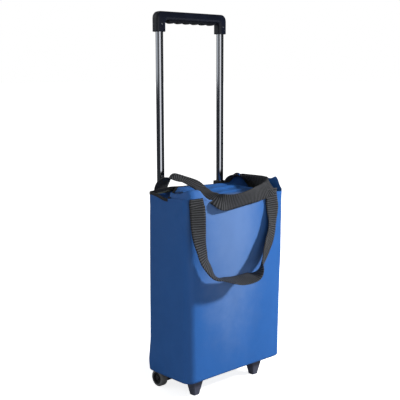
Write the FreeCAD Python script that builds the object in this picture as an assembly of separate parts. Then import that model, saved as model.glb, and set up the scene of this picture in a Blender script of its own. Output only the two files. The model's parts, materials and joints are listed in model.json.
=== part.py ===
"""Shopping trolley: a soft tote bag on a telescopic handle, with two wheels and two feet.

Millimetres, +Z up, the front of the bag faces -Y, origin under the middle of the whole
object at the floor. Every piece is a separate solid, and each node is one STEP file.
"""
import FreeCAD, Part
import math
import os

V = FreeCAD.Vector
UP = V(0, 0, 1)
SIDES = (("left", -1), ("right", 1))

# ---- driving dimensions: whole object
total_height = 950.0
bag_width = 325.0
bag_depth = 153.0
rim_height = 505.0
bag_centre_y = 10.0
bag_corner = 24.0
fabric = 1.2
lining = 0.8

# ---- clearances
shaft_gap = 0.1
slide_gap = 0.1
seat_gap = 0.05
soft_gap = 0.4

# ---- telescopic tubes
tube_spacing = 206.0
tube_y = 107.0
outer_tube_dia = 22.0
outer_tube_wall = 1.0
outer_tube_top = 496.0
inner_tube_dia = 19.0
inner_tube_wall = 0.8
tube_overlap = 44.0
glide_length = 12.0
glide_spigot = 10.0

# ---- collar and lock button
collar_dia = 28.0
collar_skirt = 12.0
collar_head = 16.0
lock_boss_width = 16.0
lock_boss_height = 18.0
lock_boss_reach = 18.0
button_width = 9.0
button_height = 11.0
button_length = 6.5
button_proud = 3.5
button_travel = 3.0
spring_dia = 5.0
spring_wire = 0.8

# ---- handle
handle_width = 235.0
handle_depth = 26.0
handle_bar = 22.0
handle_corner = 14.0
socket_width = 27.0
handle_height = 50.0
socket_bore_depth = 28.0
insert_height = 8.0
insert_depth = 22.0
lobe_count = 6
lobe_height = 4.0
rivet_height = 19.5
rivet_dia = 4.0
rivet_head_dia = 7.0
rivet_head = 0.9
soft_edge = 4.0

# ---- wheels and axle
wheel_dia = 44.0
wheel_width = 20.0
wheel_centre_x = 134.0
wheel_y = 81.0
wheel_clearance = 6.0
tyre_thick = 6.5
tyre_round = 4.0
tyre_groove = 1.0
axle_dia = 6.0
hub_boss_dia = 13.0
hub_recess = 5.0
hub_rim = 3.0
cap_dia = 12.0
cap_length = 4.0
washer = 2.0
washer_dia = 12.0

# ---- wheel housing
housing_inner_x = 98.0
housing_floor = 12.0
housing_plate = 4.0
housing_plate_x = (66.0, 121.0)
housing_plate_y = (35.0, 91.0)
housing_front_y = 67.0
boss_dia = 29.0
boss_height = 100.0
tube_seat = 40.0
cross_tube_dia = 14.0
cross_tube_wall = 1.2
cross_tube_height = 76.0
cross_boss = 20.0
cross_boss_reach = 12.0
cross_plug = 8.0

# ---- feet, base board and screws
foot_x = 105.0
foot_y = -22.0
foot_top = 36.0
foot_tip = 18.0
foot_round = 3.0
flange_size = 38.0
flange_thick = 2.5
board_thick = 4.0
board_margin = 9.0
screw_dia = 4.0
screw_head_dia = 8.0
screw_head = 1.5
screw_reach = 9.0

# ---- mouth of the bag
binding = 0.6
binding_width = 8.0
flap_right = 88.0
flap_corner_x = -69.0
flap_thick = 1.2
flap_rear_gap = 3.5

# ---- sleeves that hold the outer tubes to the back of the bag
sleeve_wall = 1.2
sleeve_bottom = 108.0
sleeve_top = 462.0

# ---- webbing straps
webbing_width = 40.0
webbing = 2.0
tab_height = 34.0
tab_drop = 9.0
front_root_left = 140.0
front_root_right = 117.0
rear_root = 121.0

# ---- places that follow from the sizes
bag_bottom = wheel_dia + wheel_clearance
bag_front = bag_centre_y - bag_depth / 2
bag_back = bag_centre_y + bag_depth / 2
tube_x = tube_spacing / 2
wall = fabric + lining
collar_top = outer_tube_top + collar_head
inner_tube_bottom = outer_tube_top - tube_overlap
socket_bottom = total_height - handle_height
inner_tube_top = socket_bottom + socket_bore_depth
bar_bottom = total_height - handle_bar
wheel_radius = wheel_dia / 2
hub_radius = wheel_radius - tyre_thick
wheel_inner_x = wheel_centre_x - wheel_width / 2
wheel_outer_x = wheel_centre_x + wheel_width / 2
axle_end = wheel_outer_x - hub_recess / 2
board_floor = bag_bottom + wall
board_top = board_floor + board_thick


def box(x0, x1, y0, y1, z0, z1):
    """Block between two corners, whichever way round the pairs are given."""
    low = V(min(x0, x1), min(y0, y1), min(z0, z1))
    return Part.makeBox(abs(x1 - x0), abs(y1 - y0), abs(z1 - z0), low)


def rod(dia, length, base, direction=UP):
    """Round bar of a diameter and a length."""
    return Part.makeCylinder(dia / 2, length, base, direction)


def pipe(dia, wall_thick, length, base, direction=UP):
    """Round tube with an outer diameter and a wall."""
    return rod(dia, length, base, direction).cut(rod(dia - 2 * wall_thick, length, base, direction))


def rounded_block(x0, x1, y0, y1, z0, z1, radius):
    """Upright block with its four vertical edges rounded."""
    block = box(x0, x1, y0, y1, z0, z1)
    upright = [e for e in block.Edges if abs(e.tangentAt(e.FirstParameter).z) > 0.99]
    return block.makeFillet(radius, upright)


def bag_block(inset, z0, z1):
    """The bag's rounded plan, moved inwards by a distance, between two heights."""
    half = bag_width / 2 - inset
    return rounded_block(-half, half, bag_front + inset, bag_back - inset, z0, z1, bag_corner - inset)


def prism(points, z0, z1):
    """Upright prism on a polygon given as (x, y) points."""
    wire = Part.makePolygon([V(x, y, z0) for x, y in points] + [V(points[0][0], points[0][1], z0)])
    return Part.Face(wire).extrude(V(0, 0, z1 - z0))


def save(name, *solids):
    """Write one node, made of one or several separate solids."""
    shape = solids[0] if len(solids) == 1 else Part.makeCompound(list(solids))
    assert shape.isValid(), name
    shape.exportStep(f"parts/{name}.step")


# ---- bag ---------------------------------------------------------------------------------

def screw_places():
    """Centres of the screws: one for each foot and two for each wheel housing."""
    plate_mid = sum(housing_plate_x) / 2 - 12.0
    ahead = housing_plate_y[0] + 10.0
    behind = housing_plate_y[1] - 14.0
    for _, sign in SIDES:
        yield sign * foot_x, foot_y
        yield sign * plate_mid, ahead
        yield sign * plate_mid, behind


def screw_holes(z0, z1):
    """The clearance holes of all the base screws between two heights."""
    return Part.makeCompound([rod(screw_dia + 2 * shaft_gap, z1 - z0, V(x, y, z0)) for x, y in screw_places()])


def make_bag():
    """Outer fabric body, inner lining, stiff base board and the screws through them."""
    holes = screw_holes(bag_bottom - 1, board_top + 1)
    body = bag_block(0, bag_bottom, rim_height)
    body = body.cut(bag_block(fabric, bag_bottom + fabric, rim_height + 1)).cut(holes)
    inner = bag_block(fabric, bag_bottom + fabric, rim_height)
    inner = inner.cut(bag_block(wall, board_floor, rim_height + 1)).cut(holes)
    board = bag_block(board_margin, board_floor, board_top).cut(holes)
    save("bag_body", body.removeSplitter())
    save("bag_lining", inner.removeSplitter())
    save("base_board", board)
    screws = []
    for x, y in screw_places():
        shank_length = board_top - bag_bottom + screw_reach
        shank = rod(screw_dia, shank_length, V(x, y, bag_bottom - screw_reach))
        screws.append(shank.fuse(rod(screw_head_dia, screw_head, V(x, y, board_top))))
    save("base_screws", *screws)


def make_mouth():
    """Bound rim on the open part of the mouth, and the front's top folded back over the rest."""
    ring = bag_block(-binding, rim_height - binding_width, rim_height + binding)
    ring = ring.cut(bag_block(wall + binding, rim_height - binding_width, rim_height + binding))
    ring = ring.cut(bag_block(0, 0, rim_height).cut(bag_block(wall, 0, rim_height)))
    far = bag_width
    folded = box(-far, flap_right + binding, bag_front - far, bag_centre_y, 0, total_height)
    save("rim_binding", ring.cut(folded))

    rear = bag_back - flap_rear_gap
    corner = bag_corner
    left = -bag_width / 2
    outline = [(left + corner, bag_front), (flap_right, bag_front), (flap_right, rear), (flap_corner_x, rear),
               (left, bag_centre_y - 4), (left, bag_front + corner)]
    flap = prism(outline, rim_height, rim_height + flap_thick)
    save("top_flap", flap)
    inset = binding_width
    inner_outline = [(left + corner, bag_front - inset), (flap_right + inset, bag_front - inset),
                     (flap_right + inset, rear - inset), (flap_corner_x + 0.4 * inset, rear - inset),
                     (left, bag_centre_y - 4 - 1.35 * inset), (left - inset, bag_front + corner)]
    lift = rim_height + flap_thick
    tape = prism(outline, lift, lift + binding).cut(prism(inner_outline, lift, lift + binding))
    save("flap_binding", tape)


def make_sleeves():
    """A fabric sleeve round each outer tube, sewn flat to the back of the bag."""
    length = sleeve_top - sleeve_bottom
    bore = outer_tube_dia + 2 * soft_gap
    for side, sign in SIDES:
        base = V(sign * tube_x, tube_y, sleeve_bottom)
        radius = bore / 2 + sleeve_wall
        web = box(base.x - radius, base.x + radius, bag_back, tube_y, sleeve_bottom, sleeve_top)
        skin = rod(2 * radius, length, base).fuse(web)
        inner_web = box(base.x - bore / 2, base.x + bore / 2, bag_back + sleeve_wall, tube_y, sleeve_bottom, sleeve_top)
        save(f"tube_sleeve_{side}", skin.cut(rod(bore, length, base).fuse(inner_web)).removeSplitter())


# ---- straps ------------------------------------------------------------------------------

def band(route):
    """Flat webbing through (x, y, z, nx, ny, nz) stations; n points out of its inner face."""
    places = [V(*station[:3]) for station in route]
    wires = []
    for i, station in enumerate(route):
        ahead = places[min(i + 1, len(places) - 1)]
        behind = places[max(i - 1, 0)]
        along = (ahead - behind).normalize()
        across = along.cross(V(*station[3:])).normalize()
        out = across.cross(along).normalize()
        corners = []
        for a, b in ((-1, -1), (1, -1), (1, 1), (-1, 1)):
            corners.append(places[i] + across * (a * webbing_width / 2) + out * (b * webbing / 2))
        wires.append(Part.makePolygon(corners + corners[:1]))
    return Part.makeLoft(wires, True, True)


def make_front_strap():
    """Carry strap that hangs from two sewn tabs on the front panel."""
    skin = bag_front - webbing - soft_gap - webbing / 2
    top = rim_height + webbing
    left, right = -front_root_left, front_root_right
    half = bag_width / 2
    # (across, how far it stands off the panel, drop below the rim, inner face normal)
    route = [(left, skin, top, 0, 1, 0),
             (left, skin, rim_height - tab_drop, 0, 1, 0),
             (left, skin - 4, rim_height - 32, 0.15, 1, 0),
             (left - 1, skin - 9, rim_height - 62, 0.25, 1, 0),
             (left - 1, skin - 16, rim_height - 96, 0.45, 0.9, 0),
             (left + 2, skin - 23, rim_height - 122, 0.7, 0.7, 0.1),
             (-0.80 * half, skin - 29, rim_height - 148, 0.75, 0.5, 0.5),
             (-0.69 * half, skin - 34, rim_height - 174, 0.6, 0.45, 0.7),
             (-0.52 * half, skin - 38, rim_height - 195, 0.25, 0.4, 0.9),
             (-0.28 * half, skin - 40, rim_height - 205, 0, 0.35, 0.95),
             (0.02 * half, skin - 39, rim_height - 206, -0.15, 0.35, 0.95),
             (0.22 * half, skin - 36, rim_height - 193, -0.55, 0.4, 0.75),
             (0.35 * half, skin - 31, rim_height - 167, -0.8, 0.45, 0.4),
             (0.44 * half, skin - 25, rim_height - 139, -0.85, 0.6, 0.1),
             (0.55 * half, skin - 18, rim_height - 105, -0.75, 0.75, 0),
             (0.65 * half, skin - 11, rim_height - 72, -0.5, 0.9, 0),
             (right - 3, skin - 5, rim_height - 40, -0.15, 1, 0),
             (right, skin, rim_height - tab_drop, 0, 1, 0),
             (right, skin, top, 0, 1, 0)]
    save("front_strap", band(route))
    tabs = []
    for x in (left, right):
        tabs.append(box(x - webbing_width / 2, x + webbing_width / 2, bag_front - webbing, bag_front,
                        rim_height - tab_drop - tab_height, rim_height - tab_drop))
    save("front_strap_tabs", *tabs)


def make_rear_strap():
    """Carry strap from the back panel, lying forward over the mouth and the front rim."""
    back = bag_back + binding + webbing / 2
    root = rim_height + webbing + soft_gap + 0.1
    half = bag_width / 2
    depth = bag_depth
    route = [(-rear_root, back, root, 0, -0.8, -0.6),
             (-rear_root, bag_back - 0.10 * depth, rim_height + 27, 0, -0.75, -0.65),
             (-0.70 * half, bag_back - 0.23 * depth, rim_height + 41, 0.1, -0.3, -0.95),
             (-0.60 * half, bag_back - 0.36 * depth, rim_height + 34, -0.2, 0.15, -0.95),
             (-0.49 * half, bag_back - 0.54 * depth, rim_height + 19, -0.2, 0.3, -0.93),
             (-0.42 * half, bag_back - 0.80 * depth, rim_height + 13, -0.1, 0.25, -0.96),
             (-0.37 * half, bag_front - 6, rim_height + 7, -0.1, 0.6, -0.8),
             (-0.20 * half, bag_front - 14, rim_height - 6, 0, 0.85, -0.5),
             (0.03 * half, bag_front - 15, rim_height - 8, 0, 0.9, -0.4),
             (0.22 * half, bag_front - 12, rim_height, 0, 0.8, -0.6),
             (0.37 * half, bag_front - 3, rim_height + 9, 0, 0.6, -0.8),
             (0.50 * half, bag_front + 0.12 * depth, rim_height + 14, -0.1, 0.3, -0.95),
             (0.66 * half, bag_front + 0.28 * depth, rim_height + 16, -0.1, 0.1, -1),
             (0.74 * half, bag_back - 0.46 * depth, rim_height + 18, 0, 0, -1),
             (0.76 * half, bag_back - 0.22 * depth, rim_height + 15, 0, -0.2, -1),
             (rear_root, bag_back - 0.06 * depth, rim_height + 11, 0, -0.6, -0.8),
             (rear_root, back, root, 0, -0.8, -0.6)]
    save("rear_strap", band(route))
    tabs = []
    for _, sign in SIDES:
        x = sign * rear_root
        tabs.append(box(x - webbing_width / 2, x + webbing_width / 2, bag_back + binding, back + webbing / 2,
                        rim_height - tab_drop - tab_height, rim_height + webbing / 2))
    save("rear_strap_tabs", *tabs)


# ---- frame -------------------------------------------------------------------------------

def make_housing(side, sign):
    """Moulding that holds the tube, the axle and the cross tube, screwed under the bag."""
    boss = rod(boss_dia, boss_height - housing_floor, V(sign * tube_x, tube_y, housing_floor))
    arm_outer = wheel_inner_x - washer - 2 * shaft_gap
    back_y = tube_y + boss_dia / 2 - soft_edge
    under_bag = bag_bottom - housing_plate
    arm = box(sign * housing_inner_x, sign * arm_outer, housing_front_y, back_y, housing_floor, under_bag)
    long_edges = [e for e in arm.Edges if abs(e.tangentAt(e.FirstParameter).x) > 0.99]
    arm = arm.makeFillet(soft_edge, long_edges)
    plate = rounded_block(sign * housing_plate_x[0], sign * arm_outer, *housing_plate_y, under_bag, bag_bottom, 6.0)
    neck = box(sign * housing_inner_x, sign * arm_outer, housing_front_y + soft_edge, housing_plate_y[1],
               under_bag - soft_edge, under_bag)
    inner_face = sign * (tube_x - boss_dia / 2 - cross_boss_reach)
    lug = box(inner_face, sign * tube_x, tube_y - cross_boss / 2, tube_y + cross_boss / 2,
              cross_tube_height - cross_boss / 2, cross_tube_height + cross_boss / 2)
    body = boss.fuse([arm, plate, neck, lug])
    for x, y in screw_places():
        if x * sign > 0 and y > 0:
            nut = rod(screw_head_dia + 2, screw_reach, V(x, y, bag_bottom - screw_reach - 1))
            body = body.fuse(nut)
    seat_dia = outer_tube_dia + 2 * seat_gap
    body = body.cut(rod(seat_dia, boss_height, V(sign * tube_x, tube_y, tube_seat)))
    body = body.cut(rod(cross_tube_dia + 2 * seat_gap, cross_plug, V(inner_face, tube_y, cross_tube_height), V(sign, 0, 0)))
    body = body.cut(rod(axle_dia + 2 * seat_gap, 4 * bag_width, V(-2 * bag_width, wheel_y, wheel_radius), V(1, 0, 0)))
    body = body.cut(screw_holes(bag_bottom - screw_reach - 0.5, bag_bottom + 1))
    save(f"wheel_housing_{side}", body.removeSplitter())
    return inner_face


def make_wheel(side, sign):
    """Moulded hub with a recessed face, a soft tyre, and the cap that holds them on."""
    axis = V(sign, 0, 0)
    inner = V(sign * wheel_inner_x, wheel_y, wheel_radius)
    hub = rod(2 * hub_radius, wheel_width, inner, axis)
    for start, depth in ((wheel_outer_x - hub_recess, hub_recess), (wheel_inner_x, hub_recess)):
        pocket = pipe(2 * (hub_radius - hub_rim), hub_radius - hub_rim - hub_boss_dia / 2, depth,
                      V(sign * start, wheel_y, wheel_radius), axis)
        hub = hub.cut(pocket)
    hub = hub.cut(rod(hub_boss_dia, hub_recess, V(sign * (wheel_outer_x - hub_recess), wheel_y, wheel_radius), axis))
    hub = hub.cut(rod(axle_dia + 2 * shaft_gap, wheel_width, inner, axis))
    save(f"wheel_hub_{side}", hub)
    tyre = rod(wheel_dia, wheel_width, inner, axis)
    outer_rims = [e for e in tyre.Edges if e.Length > 1.01 * math.pi * 2 * hub_radius]
    tyre = tyre.makeFillet(tyre_round, outer_rims)
    tyre = tyre.cut(rod(2 * hub_radius, wheel_width, inner, axis))
    save(f"tyre_{side}", tyre)
    boss_face = wheel_outer_x - hub_recess
    cap = rod(cap_dia, cap_length, V(sign * (boss_face + shaft_gap), wheel_y, wheel_radius), axis)
    rim = [e for e in cap.Edges if abs(abs(e.CenterOfMass.x) - boss_face - shaft_gap - cap_length) < 0.01]
    cap = cap.makeFillet(1.2, rim)
    cap = cap.cut(rod(axle_dia, axle_end - boss_face, V(sign * boss_face, wheel_y, wheel_radius), axis))
    save(f"axle_cap_{side}", cap)


def make_axle():
    """One steel rod through both housings and wheels, with a washer inside each wheel."""
    save("axle", rod(axle_dia, 2 * axle_end, V(-axle_end, wheel_y, wheel_radius), V(1, 0, 0)))
    rings = []
    for _, sign in SIDES:
        start = V(sign * (wheel_inner_x - washer - shaft_gap), wheel_y, wheel_radius)
        rings.append(pipe(washer_dia, (washer_dia - axle_dia) / 2 - seat_gap, washer, start, V(sign, 0, 0)))
    save("axle_washers", *rings)


def make_foot(side, sign):
    """Tapered moulded foot with a flange against the bottom of the bag."""
    wires = []
    for size, z in ((foot_tip, 0.0), (foot_top, bag_bottom - flange_thick)):
        x, y, h = sign * foot_x, foot_y, size / 2
        section = rounded_block(x - h, x + h, y - h, y + h, z, z + 1, foot_round)
        base_face = min(section.Faces, key=lambda f: f.CenterOfMass.z)
        wires.append(base_face.OuterWire)
    peg = Part.makeLoft(wires, True, True)
    f = flange_size / 2
    flange = rounded_block(sign * foot_x - f, sign * foot_x + f, foot_y - f, foot_y + f,
                           bag_bottom - flange_thick, bag_bottom, 2 * foot_round)
    foot = peg.fuse(flange).cut(screw_holes(bag_bottom - screw_reach - 0.5, bag_bottom + 1))
    save(f"foot_{side}", foot)


def make_outer_tube(side, sign):
    """Fixed tube, its collar, the lock button in the collar and the button's spring."""
    centre = V(sign * tube_x, tube_y, 0)
    save(f"outer_tube_{side}", pipe(outer_tube_dia, outer_tube_wall, outer_tube_top - tube_seat, centre + UP * tube_seat))
    skirt_bottom = outer_tube_top - collar_skirt
    collar = rod(collar_dia, collar_top - skirt_bottom, centre + UP * skirt_bottom)
    edges = [e for e in collar.Edges if len(e.Vertexes) == 1]
    collar = collar.makeFillet(1.2, edges)
    half = lock_boss_width / 2
    boss_bottom = collar_top - lock_boss_height - 1
    boss_face = tube_y + lock_boss_reach
    boss = box(centre.x - half, centre.x + half, tube_y, boss_face, boss_bottom, boss_bottom + lock_boss_height)
    upright = [e for e in boss.Edges if e.CenterOfMass.y > boss_face - 0.01]
    collar = collar.fuse(boss.makeFillet(2.0, upright))
    collar = collar.cut(rod(outer_tube_dia + 2 * seat_gap, collar_skirt, centre + UP * skirt_bottom))
    collar = collar.cut(rod(inner_tube_dia + 2 * slide_gap, collar_top, centre + UP * skirt_bottom))
    face = boss_face + button_proud
    heel = face - button_length
    pocket_floor = heel - button_travel - 0.5
    mid = boss_bottom + lock_boss_height / 2
    w, h = button_width / 2, button_height / 2
    g = slide_gap
    collar = collar.cut(box(centre.x - w - g, centre.x + w + g, pocket_floor, boss_face + 1, mid - h - g, mid + h + g))
    save(f"collar_{side}", collar.removeSplitter())
    button = box(centre.x - w, centre.x + w, heel, face, mid - h, mid + h)
    button = button.makeFillet(1.0, [e for e in button.Edges if e.CenterOfMass.y > face - 0.01])
    button = button.cut(rod(spring_dia + 0.4, button_length - 1.5, V(centre.x, heel, mid), V(0, 1, 0)))
    save(f"lock_button_{side}", button)
    reach = face - 1.5 - button_travel - 0.3 - pocket_floor
    return pipe(spring_dia, spring_wire, reach, V(centre.x, pocket_floor, mid), V(0, 1, 0))


def make_inner_tube(side, sign):
    """Sliding tube with a plastic glide in its lower end."""
    centre = V(sign * tube_x, tube_y, 0)
    tube = pipe(inner_tube_dia, inner_tube_wall, inner_tube_top - inner_tube_bottom, centre + UP * inner_tube_bottom)
    save(f"inner_tube_{side}", tube.cut(rivet_holes()))
    glide = rod(outer_tube_dia - 2 * outer_tube_wall - 2 * slide_gap, glide_length,
                centre + UP * (inner_tube_bottom - glide_length))
    spigot_dia = inner_tube_dia - 2 * inner_tube_wall - 2 * seat_gap
    save(f"tube_glide_{side}", glide.fuse(rod(spigot_dia, glide_spigot, centre + UP * inner_tube_bottom)))


# ---- handle ------------------------------------------------------------------------------

def rivet_holes():
    """Cross holes of the two rivets through the sockets."""
    holes = []
    for _, sign in SIDES:
        start = V(sign * tube_x, tube_y - handle_depth, socket_bottom + rivet_height)
        holes.append(rod(rivet_dia + 2 * seat_gap, 2 * handle_depth, start, V(0, 1, 0)))
    return Part.makeCompound(holes)


def make_handle():
    """U-shaped grip shell, the finger insert under its bar, and the rivets in its sockets."""
    half = handle_width / 2
    front = tube_y - handle_depth / 2
    back = tube_y + handle_depth / 2
    inner_x = tube_x - socket_width / 2
    blank = box(-half, half, front, back, socket_bottom, total_height)
    top_corners = [e for e in blank.Edges
                   if abs(e.CenterOfMass.z - total_height) < 0.01 and abs(abs(e.CenterOfMass.x) - half) < 0.01]
    blank = blank.makeFillet(handle_corner, top_corners)
    gap = box(-inner_x, inner_x, front - 1, back + 1, socket_bottom - 1, bar_bottom)
    inside_corners = [e for e in gap.Edges
                      if abs(e.CenterOfMass.z - bar_bottom) < 0.01 and abs(abs(e.CenterOfMass.x) - inner_x) < 0.01]
    shell = blank.cut(gap.makeFillet(5.0, inside_corners))
    outline = [e for e in shell.Edges if abs(e.CenterOfMass.y - front) < 0.01 or abs(e.CenterOfMass.y - back) < 0.01]
    shell = shell.makeFillet(soft_edge, outline)
    pocket = 4.0
    seat = box(-inner_x + 8, inner_x - 8, tube_y - insert_depth / 2, tube_y + insert_depth / 2,
               bar_bottom - 1, bar_bottom + pocket)
    shell = shell.cut(seat)
    for _, sign in SIDES:
        base = V(sign * tube_x, tube_y, socket_bottom - 1)
        shell = shell.cut(rod(inner_tube_dia + 2 * seat_gap, socket_bore_depth + 1.2, base))
    save("handle_shell", shell.cut(rivet_holes()))

    fit = 0.15
    x_end = inner_x - 8 - fit
    y_low, y_high = tube_y - insert_depth / 2 + fit, tube_y + insert_depth / 2 - fit
    root = box(-x_end, x_end, y_low, y_high, bar_bottom - 2, bar_bottom + pocket)
    pitch = 2 * x_end / lobe_count
    sagitta = lobe_height
    radius = (pitch * pitch / 4 + sagitta * sagitta) / (2 * sagitta)
    grip = root
    for i in range(lobe_count):
        centre_x = -x_end + pitch * (i + 0.5)
        lobe = rod(2 * radius, y_high - y_low, V(centre_x, y_low, bar_bottom - 2 - sagitta + radius), V(0, 1, 0))
        below = box(centre_x - pitch / 2, centre_x + pitch / 2, y_low, y_high, bar_bottom - 2 - sagitta - 1, bar_bottom - 2)
        grip = grip.fuse(lobe.common(below))
    save("grip_insert", grip.removeSplitter())

    rivets = []
    for _, sign in SIDES:
        z = socket_bottom + rivet_height
        x = sign * tube_x
        shank = rod(rivet_dia, handle_depth + 2 * rivet_head, V(x, front - rivet_head, z), V(0, 1, 0))
        heads = [rod(rivet_head_dia, rivet_head, V(x, y, z), V(0, 1, 0)) for y in (front - rivet_head, back)]
        rivets.append(shank.fuse(heads))
    save("handle_rivets", *rivets)


def main():
    """Build every node."""
    os.makedirs("parts", exist_ok=True)
    make_bag()
    make_mouth()
    make_sleeves()
    make_front_strap()
    make_rear_strap()
    springs = []
    for side, sign in SIDES:
        lug_face = make_housing(side, sign)
        make_wheel(side, sign)
        make_foot(side, sign)
        springs.append(make_outer_tube(side, sign))
        make_inner_tube(side, sign)
    save("lock_springs", *springs)
    reach = abs(lug_face) + cross_plug
    save("cross_tube", pipe(cross_tube_dia, cross_tube_wall, 2 * reach, V(-reach, tube_y, cross_tube_height), V(1, 0, 0)))
    make_axle()
    make_handle()


main()
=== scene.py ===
"""Shopping trolley on wheels: the looks of a soft polyester bag on a two-tube folding frame.

The bag is a sewn shell of coated polyester with a folded, taped mouth, two webbing carry straps,
a telescopic black-chrome frame with a moulded grip, two small wheels and two moulded feet.
Lengths in the classes are in millimetres; meshes are in metres.
"""

import json
import logging
import math
from dataclasses import dataclass, field
from enum import Enum
from typing import Callable, Iterable, Sequence

import bmesh
import bpy
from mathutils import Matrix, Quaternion, Vector, noise


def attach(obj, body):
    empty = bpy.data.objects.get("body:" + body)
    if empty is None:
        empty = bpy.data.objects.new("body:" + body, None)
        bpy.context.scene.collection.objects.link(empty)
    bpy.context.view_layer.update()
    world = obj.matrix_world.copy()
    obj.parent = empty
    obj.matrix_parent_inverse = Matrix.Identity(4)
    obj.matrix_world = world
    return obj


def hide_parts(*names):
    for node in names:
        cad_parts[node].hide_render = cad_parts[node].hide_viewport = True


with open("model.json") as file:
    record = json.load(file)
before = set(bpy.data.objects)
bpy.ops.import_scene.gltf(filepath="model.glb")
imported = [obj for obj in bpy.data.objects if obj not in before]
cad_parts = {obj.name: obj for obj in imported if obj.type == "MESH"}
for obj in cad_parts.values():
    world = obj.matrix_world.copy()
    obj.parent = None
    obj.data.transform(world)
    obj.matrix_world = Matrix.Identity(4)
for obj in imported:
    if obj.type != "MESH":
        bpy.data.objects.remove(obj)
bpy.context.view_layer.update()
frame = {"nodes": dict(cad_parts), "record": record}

log = logging.getLogger("trolley")
MM = 0.001
Spot = tuple[float, float, float]


class Body(Enum):
    """The moving parts of the trolley that a piece can ride on."""

    BASE = "base"
    HANDLE = "handle"
    LOCK_LEFT = "lock_left"
    LOCK_RIGHT = "lock_right"
    WHEEL_LEFT = "wheel_left"
    WHEEL_RIGHT = "wheel_right"
    FRONT_STRAP = "front_strap"
    REAR_STRAP = "rear_strap"


class Pattern(Enum):
    """How a cloth is woven."""

    TWILL = "twill"
    RIBBED = "ribbed"
    PLAIN = "plain"


# ---- small helpers ----------------------------------------------------------------------


def linear(colour: str) -> tuple[float, float, float, float]:
    """Turns an sRGB colour into linear light.

    Args:
        colour: six hex digits, with or without a leading hash.

    Returns:
        Red, green, blue and an alpha of 1.
    """
    digits = colour.lstrip("#")
    parts = [int(digits[i:i + 2], 16) / 255 for i in (0, 2, 4)]
    lit = [p / 12.92 if p <= 0.04045 else ((p + 0.055) / 1.055) ** 2.4 for p in parts]
    return (lit[0], lit[1], lit[2], 1.0)


def add_node(tree: bpy.types.NodeTree, kind: str, settings: dict | None = None,
             links: dict | None = None) -> bpy.types.Node:
    """Adds one node with its settings and its incoming links.

    Args:
        tree: the node tree it goes in.
        kind: the node's type name.
        settings: attribute or input name (or input number) to value.
        links: input name (or number) to the socket that feeds it.

    Returns:
        The new node.
    """
    node = tree.nodes.new(kind)
    for key, value in (settings or {}).items():
        if isinstance(key, str) and hasattr(node, key):
            setattr(node, key, value)
        else:
            node.inputs[key].default_value = value
    for key, socket in (links or {}).items():
        tree.links.new(socket, node.inputs[key])
    return node


def fade(low: float, high: float, value: float) -> float:
    """Returns a smooth 0 to 1 step of value between low and high."""
    t = min(1.0, max(0.0, (value - low) / (high - low)))
    return t * t * (3 - 2 * t)


def knotted(knots: Sequence[tuple[float, float]], value: float) -> float:
    """Reads a smooth curve through (place, amount) knots.

    Args:
        knots: pairs in rising order of place.
        value: the place to read.

    Returns:
        The amount there, held level outside the first and last knots.
    """
    if value <= knots[0][0]:
        return knots[0][1]
    for (a, low), (b, high) in zip(knots, knots[1:]):
        if value <= b:
            return low + (high - low) * fade(a, b, value)
    return knots[-1][1]


def ripple(x: float, y: float, z: float, size: float, seed: float) -> float:
    """Returns smooth noise of about -1 to 1 whose lumps are about size millimetres across."""
    return noise.noise(Vector((x / size + seed, y / size - seed, z / size + 3 * seed)))


def spline(knots: Sequence[Sequence[float]], step: float) -> list[list[float]]:
    """Runs a smooth curve through knots.

    Args:
        knots: points whose first three numbers are x, y and z; the rest are carried along.
        step: the spacing wanted, in the knots' own unit.

    Returns:
        Evenly spaced points with as many numbers as a knot has.
    """
    dense: list[list[float]] = []
    count = len(knots)
    for i in range(count - 1):
        p0, p1 = knots[max(i - 1, 0)], knots[i]
        p2, p3 = knots[i + 1], knots[min(i + 2, count - 1)]
        for k in range(24):
            t = k / 24
            dense.append([
                0.5 * (2 * b + (c - a) * t + (2 * a - 5 * b + 4 * c - d) * t * t
                       + (3 * b - a - 3 * c + d) * t ** 3)
                for a, b, c, d in zip(p0, p1, p2, p3)])
    dense.append(list(knots[-1]))
    run = [0.0]
    for a, b in zip(dense, dense[1:]):
        run.append(run[-1] + math.dist(a[:3], b[:3]))
    pieces = max(2, round(run[-1] / step))
    out: list[list[float]] = []
    j = 0
    for i in range(pieces + 1):
        want = run[-1] * i / pieces
        while j < len(run) - 2 and run[j + 1] < want:
            j += 1
        t = (want - run[j]) / max(run[j + 1] - run[j], 1e-9)
        out.append([a + (b - a) * t for a, b in zip(dense[j], dense[j + 1])])
    return out


def mapped_grid(columns: int, rows: int,
                place: Callable[[float, float], tuple[Sequence[float], tuple[float, float]]],
                weld: bool = False, flip: bool = False) -> bmesh.types.BMesh:
    """Bends a flat grid into a cloth surface, with a UV map in metres of cloth.

    Args:
        columns: faces along u.
        rows: faces along v.
        place: gives, for u and v from 0 to 1, the spot in mm and the cloth place in mm.
        weld: whether meeting edges and poles are sewn together.
        flip: whether the cloth faces the other way.

    Returns:
        The open mesh.
    """
    mesh = bmesh.new()
    flat = mesh.loops.layers.uv.new("UVMap")
    bmesh.ops.create_grid(mesh, x_segments=columns, y_segments=rows, size=0.5)
    for vert in mesh.verts:
        spot, cloth = place(vert.co.x + 0.5, vert.co.y + 0.5)
        for loop in vert.link_loops:
            loop[flat].uv = (cloth[0] * MM, cloth[1] * MM)
        vert.co = Vector(spot) * MM
    if weld:
        bmesh.ops.remove_doubles(mesh, verts=mesh.verts, dist=0.02 * MM)
    if flip:
        bmesh.ops.reverse_faces(mesh, faces=mesh.faces)
    return mesh


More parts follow.
